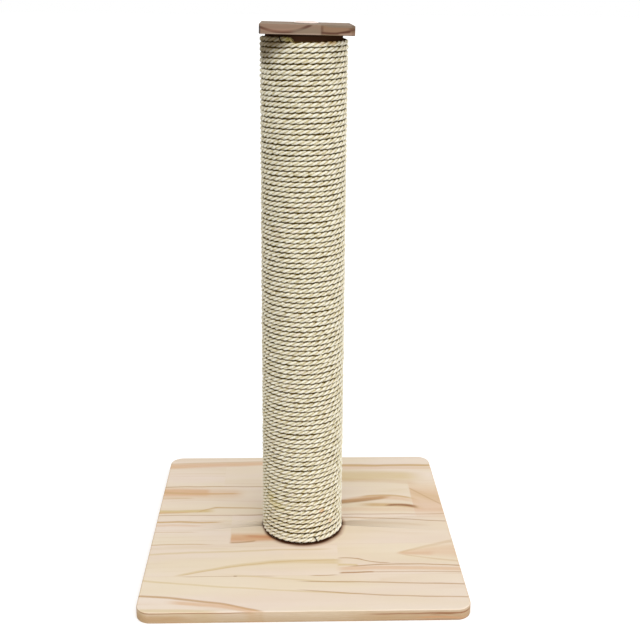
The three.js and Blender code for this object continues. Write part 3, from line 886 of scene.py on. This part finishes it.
def sisal(name, number):
    """Sisal: fine fibres along the strand, whose tone varies from fibre to fibre, in patches a few
    centimetres long, and slowly from turn to turn. Grooves between strands and gaps between turns are
    darkened with painted shade."""
    material, shader, skin = finish(name, "UV")
    across, along, _ = skin.axes()

    def pattern(scale, start, detail=2.0):
        """Noise over the map, whose two axes are scaled by their own numbers and then moved."""
        moved = skin.node("VectorMath", {"operation": "MULTIPLY_ADD"}, {0: skin, 1: scale, 2: start})
        return moved.noise(detail, 0.6)

    # The fibres lean across the map, as they wind round the strand.
    leaning = skin.node("CombineXYZ", {}, {
        0: across * 34.0 + along * 620.0,
        1: along * 95.0,
        2: number * 7.0,
    })
    fibres = leaning.noise(3.0, 0.6)
    patches = pattern((2.0, 42.0, 0.0), (0.0, 0.0, number * 3.0))
    slow = pattern((0.0, 2.6, 0.0), (0.0, 0.0, 5.0), 3.0)
    hue = pattern((0.0, 9.0, 0.0), (number * 0.4, 0.0, 9.0))
    clumps = pattern((6.0, 170.0, 0.0), (0.0, 0.0, number * 11.0))
    tone = fibres * 0.35 + patches * 0.45 + clumps * 0.65 + slow * 0.25 + 0.45
    shade = tone.ease(-1.0, 1.0).mix(straw, white_straw)
    shade = (patches * 0.4 - fibres * 0.3 + slow * 0.4 + hue * 0.3).ease(0.2, 1.5).mix(shade, yellow_straw)
    shade = (fibres * 0.3 - hue).ease(0.3, 1.4).mix(shade, pink_straw)
    outward, ridge, ends = (
        skin.node("Attribute", {"attribute_name": attribute}, {}, output=2)
        for attribute in ("outward", "ridge", "ends")
    )
    # Painted shade: the grooves between strands, the edges of each turn near the gaps, and the gaps
    # themselves are darkened in the colour.
    shade = (ridge + clumps * 0.05).ease(0.97, 0.6).mix(shade, painted_groove_shade)
    gap_shade_tone = (patches + slow).ease(-1.0, 0.8).mix(painted_gap_shade, painted_deep_gap_shade)
    shade = (outward.ease(0.9, 0.4) * 0.3).mix(shade, painted_groove_shade)
    shade = (outward + clumps * 0.09 + patches * 0.15).ease(0.5, 0.1).mix(shade, gap_shade_tone)
    place = skin.node("TexCoord", output=3)
    for degrees, height, half_length, half_height, strength, stain_and_shade_colour in stains_and_painted_shade:
        bearing = np.radians(degrees)
        middle = stain_and_shade_circle * np.cos(bearing), stain_and_shade_circle * np.sin(bearing), height * mm
        sizes = 1 / (half_length * mm), 1 / (half_length * mm), 1 / (half_height * mm)
        away = place.node("VectorMath", {"operation": "SUBTRACT"}, {0: place, 1: middle})
        away = away.stretched(*sizes).length()
        shade = ((away + fibres * 0.15).ease(1.0, 0.3) * strength).mix(shade, stain_and_shade_colour)
    shade = (ends * 0.8).mix(shade, cut_straw)
    coat(
        material, shader, Base_Color=shade, Roughness=0.9, Specular_IOR_Level=0.0,
        Normal=bumped(fibres + clumps, 0.8, 0.3 * mm),
    )
    return material


for number in range(3):
    wear(strand(number), sisal(f"sisal_fibre_{number + 1}", number), "sisal", "sisal_rope")

# ---------------------------------------------------------------- stray fibres
# Some six hundred fine fibres stand off the winding and lie roughly along it. A denser, yellower tuft
# frays from each cut end, and the one at the top hangs down over the turn below.


def hairs(name, lines, thickness, sides=3):
    """Thin tapering hairs along lines, an array of hairs by points by XYZ. Each point carries a small
    circle square to the hair. Its first direction is square to the hair and to one fixed direction that
    no hair follows, and its second is square to both."""
    count, steps = lines.shape[:2]
    ahead = np.gradient(lines, axis=1)
    ahead /= np.linalg.norm(ahead, axis=2, keepdims=True)
    off_line = 0.31, 0.17, 0.93
    beside = np.cross(ahead, off_line)
    beside /= np.linalg.norm(beside, axis=2, keepdims=True)
    above = np.cross(ahead, beside)
    around = 2 * np.pi * np.arange(sides) / sides
    narrow = thickness[:, None, None, None] * np.linspace(1, 0.35, steps)[None, :, None, None]
    circle = np.cos(around)[:, None] * beside[:, :, None] + np.sin(around)[:, None] * above[:, :, None]
    points = lines[:, :, None] + narrow * circle
    index = np.arange(points[..., 0].size).reshape(count, steps, sides)
    here, there = index[:, :-1], index[:, 1:]
    walls = np.stack([here, np.roll(here, -1, 2), np.roll(there, -1, 2), there], -1).reshape(-1, 4)
    mesh = bpy.data.meshes.new(name)
    faces = walls.tolist() + index[:, 0, ::-1].tolist() + index[:, -1].tolist()
    mesh.from_pydata(points.reshape(-1, 3), [], faces)
    made = bpy.data.objects.new(name, mesh)
    bpy.context.scene.collection.objects.link(made)
    tidy(mesh, 60)
    return made


def loose_lines(count, seed):
    """Lines of loose fibres: each leaves the rope's skin somewhere along it, runs mostly along the rope in
    either direction, and lifts off on a soft curve that falls back a little."""
    draw = np.random.default_rng(seed)
    angle, out, height = rope_line(draw.uniform(0.2, rope_turns - 0.2, count))
    lean = draw.uniform(-1.1, 1.1, count)
    just_under_skin = rope_radius - 0.2 * mm
    radius = out + just_under_skin * np.cos(lean)
    foot = height + just_under_skin * np.sin(lean)
    length = draw.uniform(5, 22, count) * mm
    heading = draw.normal(0.45, 0.45, count) + np.pi * (draw.random(count) < 0.5)
    lift = 0.4 * mm + 1.1 * mm * draw.exponential(1.0, count).clip(0, 2.6)
    share = np.linspace(0, 1, 7)
    along = length[:, None] * share
    bow = np.sin(share * np.pi * 0.8)
    turn = angle[:, None] + along * np.cos(heading)[:, None] / radius[:, None]
    reach = radius[:, None] + lift[:, None] * bow
    rise = foot[:, None] + along * np.sin(heading)[:, None] + draw.normal(0, 0.9, count)[:, None] * mm * bow
    low, high = rope_low.z + 0.5 * mm, rope_high.z
    return np.stack([reach * np.cos(turn), reach * np.sin(turn), rise.clip(low, high)], -1)


def tuft_lines(count, seed, t, way, droop):
    """Lines of a tuft at a cut end: each leaves the cut face, runs on a few millimetres in the rope's
    direction, spreads, and droops."""
    draw = np.random.default_rng(seed)
    angle, out, height = (float(value[0]) for value in rope_line(np.array([t])))
    side = draw.uniform(-1, 1, (count, 2)) * rope_radius * 0.62
    length = draw.uniform(1.5, 6, count) * mm
    spread = draw.normal(0, 0.3, (count, 2))
    share = np.linspace(-0.5, 1, 6)
    along = length[:, None] * share
    turn = angle + way * along / out
    ahead = along.clip(0, None)
    reach = out + side[:, :1] + ahead * (spread[:, :1] + 0.25)
    rise = height + side[:, 1:] + ahead * spread[:, 1:] - droop * ahead ** 2 / (6 * mm)
    return np.stack([reach * np.cos(turn), reach * np.sin(turn), rise], -1)


loose = loose_lines(620, 31)
draw = np.random.default_rng(32)
fibres = hairs("stray_fibres", loose, draw.uniform(0.035, 0.085, len(loose)) * mm)
fray = np.concatenate([tuft_lines(46, 33, rope_turns, 1, 1.1), tuft_lines(30, 34, 0.0, -1, 0.3)])
frayed = hairs("frayed_ends", fray, draw.uniform(0.07, 0.15, len(fray)) * mm)
for made, shades in ((fibres, (straw, white_straw)), (frayed, (cut_straw, yellow_straw))):
    fibre_finish, shader, place = finish(made.name)
    tone = place.stretched(300, 300, 300).noise(2.0)
    coat(fibre_finish, shader, Base_Color=tone.ease(-0.8, 0.8).mix(*shades), Roughness=0.7)
    wear(made, fibre_finish, "sisal", "sisal_rope")

# ---------------------------------------------------------------- cap board
# The cap is a small square of the same glued pine, in darker wood, on top of the tube. It leans by a
# degree, and rests on the tube's right edge.

cap_tilt = np.radians(1)
cap_side = 106 * mm
cap_thickness = 11 * mm
cap_low, cap_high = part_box("cap_board")
cap_middle = (cap_low + cap_high) / 2
cap_place = (
    Matrix.Translation(cap_middle)
    @ Matrix.Rotation(cap_tilt, 4, "Y")
    @ Matrix.Translation((0, 0, -cap_thickness / 2))
)
cap_corner_radius = 1.5 * mm
cap_arris = 0.8 * mm
cap_board = board(
    "pine_cap_board", cap_side, cap_thickness, cap_corner_radius, cap_arris,
    hole=[
        (screw_head_hole, cap_thickness),
        (screw_head_hole, cap_thickness - 0.6 * mm),
        (screw_neck_hole, cap_thickness - 2.6 * mm),
        (screw_neck_hole, 0),
    ],
)
cap_board.data.transform(cap_place)

pink_cap = colour(146, 120, 102)
olive_cap = colour(132, 120, 96)
brown_cap = colour(96, 72, 52)
red_brown = colour(78, 44, 32)
# The grey below is painted shade at the cap's left corner.
painted_corner_shade = colour(62, 60, 62)
pale_edge = colour(186, 162, 146)
cap_foot = cap_middle.z / mm - cap_thickness / mm / 2
# Streaks on the cap's front, in millimetres, as on the board, but with their heights from the cap's foot.
cap_streaks = [
    ("front", start, end, cap_foot + first, cap_foot + middle, cap_foot + last, *rest)
    for start, end, first, middle, last, *rest in (
        # left block
        (-50, 8, 9.0, 3.4, 11, 2.2, 2.4, 2, 0.95, red_brown),
        (-44, -4, 6, 5, 7, 2.5, 2.5, 8, 0.35, colour(170, 130, 108)),
        (-60, 18, 1.0, 1.0, 0.6, 1.6, 1.2, 4, 0.6, pale_edge),
        # right block, the line of its end joint, and painted shade at the cap's left corner
        (18, 56, 5, 5, 5, 9, 9, 0.6, 0.6, colour(146, 108, 84)),
        (18, 50, 2.4, 1.8, 3.4, 1.8, 1.8, 1, 0.9, red_brown),
        (36, 60, 1.8, 4.0, 6.2, 1.4, 1.6, 3, 0.75, red_brown),
        (17.6, 20.4, 5, 5, 5, 8, 8, 0.5, 0.55, red_brown),
        # painted shade at the cap's left corner
        (-60, -48.7, 5, 5, 5, 9, 9, 0.4, 0.95, painted_corner_shade),
        # softer tones
        (-14, 17, 4.5, 4, 3, 4, 4, 5, 0.55, colour(130, 118, 98)),
        (24, 60, 9.4, 9.2, 8.6, 2.0, 2.4, 5, 0.6, colour(118, 110, 98)),
        (38, 60, 0.8, 0.8, 1.4, 1.2, 1.6, 3, 0.6, colour(172, 142, 126)),
        (49, 60, 6.2, 6.4, 6.8, 1.8, 1.6, 2, 0.8, colour(92, 62, 46)),
    )
]
cap_finish = pine(
    "cap_wood",
    glue_lines=[-18, 27],
    end_joints=[(18, -80, -18)],
    blocks=[
        (0.35, 0.10, 0.50, 0.15),
        (0.80, 0.20, 0.55, 0.25),
        (0.10, 0.15, 0.45, 0.12),
        (0.85, 0.80, 0.60, 0.45),
    ],
    streaks=cap_streaks,
    warm=pink_cap,
    cool=olive_cap,
    deep=brown_cap,
    half_length=cap_side / 2 / mm,
)
wear(cap_board, cap_finish, "pine_cap", "cap_board")

# ---------------------------------------------------------------- screw cover
# A low moulded cover, in a pale pinkish plastic, hides the screw that goes down through the cap.

cover_radius = 14 * mm
cover_height = 2.8 * mm
cover_rim = 0.8 * mm
cover_clearance = 0.3 * mm
bend = np.linspace(0, np.pi / 2, 15)
cover_rows = [
    (0, 0),
    (cover_radius - 0.1 * mm, 0),
    (cover_radius, 0.1 * mm),
    (cover_radius, cover_rim * 0.8),
    (cover_radius - 0.12 * mm, cover_rim),
    *zip((cover_radius - 0.3 * mm) * np.cos(bend), cover_rim + (cover_height - cover_rim) * np.sin(bend)),
]
cover_place = cap_place @ Matrix.Translation((0, 0, cap_thickness + cover_clearance))
cover = turned("screw_cover", cover_rows, steps=96, sharp=50, place=cover_place)
cover_finish, shader, place = finish("pale_pink_plastic")
speckle = place.stretched(900, 900, 900).noise(3.0, 0.6)
coat(
    cover_finish, shader,
    Base_Color=speckle.ease(-1.5, 1.5).mix(colour(228, 210, 200), colour(238, 222, 212)),
    Roughness=speckle * 0.03 + 0.42, Normal=bumped(speckle, 0.12, 0.05 * mm),
)
wear(cover, cover_finish, "cover_plastic", "cap_screw_cover")

# ---------------------------------------------------------------- staples
# Three wire staples across the rope hold it to the tube: one near each end, and one at the front on the
# first turn. Their crowns lean against the rope's lay and press on its fibres.


def wire(name, line, radius, sides=8):
    """A round wire along a line of points: at each point, a circle square to the line, set out along
    two directions that stay in and across the line's plane."""
    ahead = np.gradient(line, axis=0)
    ahead /= np.linalg.norm(ahead, axis=1)[:, None]
    flat = np.cross(line[1] - line[0], line[len(line) // 2] - line[0])
    flat = flat / np.linalg.norm(flat)
    beside = np.cross(ahead, flat)
    around = 2 * np.pi * np.arange(sides) / sides
    rings = line[:, None] + radius * (
        np.cos(around)[None, :, None] * beside[:, None] + np.sin(around)[None, :, None] * flat
    )
    start = np.repeat(line[:1, None], sides, 1)
    end = np.repeat(line[-1:, None], sides, 1)
    return piece(name, np.concatenate([start, rings, end]), sharp=60)


staple_crown = 6.4 * mm
staple_leg = 10.5 * mm
staple_wire = 0.62 * mm
staple_bend = 0.8 * mm
staple_lean = np.radians(62)
staple_from_end = 12 / 360
front_staple_angle = np.radians(-71)
front_staple_turn = (front_staple_angle - rope_start_angle) / (2 * np.pi) % 1
# Each staple's place along the rope in turns, its crown's distance from the rope's line in rope radii,
# and its height above that line.
staples = {
    "bottom": (staple_from_end, 1.05, 0),
    "front": (front_staple_turn, 1.34, 1.2 * mm),
    "top": (rope_turns - staple_from_end, 1.05, 0),
}
arc = np.linspace(0, np.pi / 2, 7)
half_crown = staple_crown / 2 - staple_wire
leg_end = staple_wire - staple_leg
left_bend = np.stack([-half_crown + staple_bend * (1 - np.cos(arc)), -staple_bend * (1 - np.sin(arc))], 1)
staple_line = np.concatenate([
    [[-half_crown, leg_end]],
    left_bend,
    left_bend[::-1] * [-1, 1],
    [[half_crown, leg_end]],
])
old_wire, shader, place = finish("rusty_staple_wire")
rust = place.stretched(500, 500, 500).noise(3.0, 0.6)
coat(
    old_wire, shader, Base_Color=rust.ease(-1.0, 1.0).mix(colour(20, 14, 6), colour(44, 30, 14)),
    Roughness=0.8, Specular_IOR_Level=0.1,
)
for end, (at_turn, distance, above) in staples.items():
    angle, _, height = (float(value[0]) for value in rope_line(np.array([at_turn])))
    out = np.array([np.cos(angle), np.sin(angle), 0])
    level = np.array([np.sin(angle), -np.cos(angle), 0])
    up = np.array([0, 0, 1])
    across = level * np.cos(staple_lean) + up * np.sin(staple_lean)
    crown = out * (rope_circle + rope_radius * distance) + up * (height + above)
    line = crown + staple_line[:, :1] * across + staple_line[:, 1:] * out
    staple = wire(f"wire_staple_{end}", line, staple_wire)
    wear(staple, old_wire, "zinced_steel", f"rope_staple_{end}")

# ---------------------------------------------------------------- floor and light
# The post stands on a plain white floor under soft studio light: an even pale surround, a broad lamp
# high at the front right, which leaves the post's left side in shade, and a lower one in front.

floor_size = 30.0
floor = piece("studio_floor", np.array([
    [[-floor_size, -floor_size, 0], [floor_size, -floor_size, 0]],
    [[-floor_size, floor_size, 0], [floor_size, floor_size, 0]],
]), columns_close=False)


def background_rays(tree):
    """Empties a node tree, and gives 1 for the rays that show the background as it is, from the camera,
    off gloss and through glass, and 0 for all others, which carry its light."""
    tree.nodes.clear()
    path = tree.nodes.new("ShaderNodeLightPath")
    seen = Socket(path.outputs["Is Camera Ray"])
    for kind in ("Is Glossy Ray", "Is Transmission Ray"):
        seen = seen.math("MAXIMUM", Socket(path.outputs[kind]))
    return seen


floor_finish = bpy.data.materials.new("white_floor")
floor_finish.use_nodes = True
tree = floor_finish.node_tree
seen = background_rays(tree)
floor_grey = (0.72, 0.72, 0.72, 1)
floor_glow = 0.42
white = (1, 1, 1, 1)
paint = seen.node("BsdfDiffuse", {}, {"Color": floor_grey})
glow = seen.node("Emission", {}, {"Color": white, "Strength": seen * floor_glow})
both = seen.node("AddShader", {}, {0: paint, 1: glow})
tree.links.new(both.output, tree.nodes.new("ShaderNodeOutputMaterial").inputs["Surface"])
floor.data.materials.append(floor_finish)

world = bpy.data.worlds.new("studio")
bpy.context.scene.world = world
world.use_nodes = True
tree = world.node_tree
seen = background_rays(tree)
surround = 0.55
sky = seen.node("Background", {}, {"Color": white, "Strength": seen * (1 - surround) + surround})
tree.links.new(sky.output, tree.nodes.new("ShaderNodeOutputWorld").inputs["Surface"])


def lamp(name, bearing, height, width, strength):
    """A broad distant lamp. Its bearing is from the front towards the right and its height is above the
    floor, both in degrees, as is its width."""
    data = bpy.data.lights.new(name, "SUN")
    data.energy, data.angle = strength, np.radians(width)
    level, up = np.radians(bearing), np.radians(height)
    source = Vector((np.sin(level) * np.cos(up), -np.cos(level) * np.cos(up), np.sin(up)))
    made = bpy.data.objects.new(name, data)
    made.rotation_euler = source.to_track_quat("Z", "Y").to_euler()
    bpy.context.scene.collection.objects.link(made)


lamp("key", 42, 48, 110, 1.5)
lamp("front", 3, 28, 90, 1.15)

# ---------------------------------------------------------------- camera
# The photograph was taken from just above the cap's height, a little left of the middle, looking down.

camera_place = Vector((-0.0182, -1.1606, 0.6849))
camera_yaw = np.radians(1.905)
camera_pitch = np.radians(14.556)
camera_roll = np.radians(0.469)
camera_data = bpy.data.cameras.new("camera")
camera_data.sensor_width = 36
camera_data.lens = 55.63
camera_data.shift_y = -0.11
camera = bpy.data.objects.new("camera", camera_data)
camera.matrix_world = (
    Matrix.Translation(camera_place)
    @ Matrix.Rotation(-camera_yaw, 4, "Z")
    @ Matrix.Rotation(np.pi / 2 - camera_pitch, 4, "X")
    @ Matrix.Rotation(camera_roll, 4, "Z")
)
bpy.context.scene.collection.objects.link(camera)
bpy.context.scene.camera = camera
bpy.context.scene.view_settings.view_transform = "Standard"
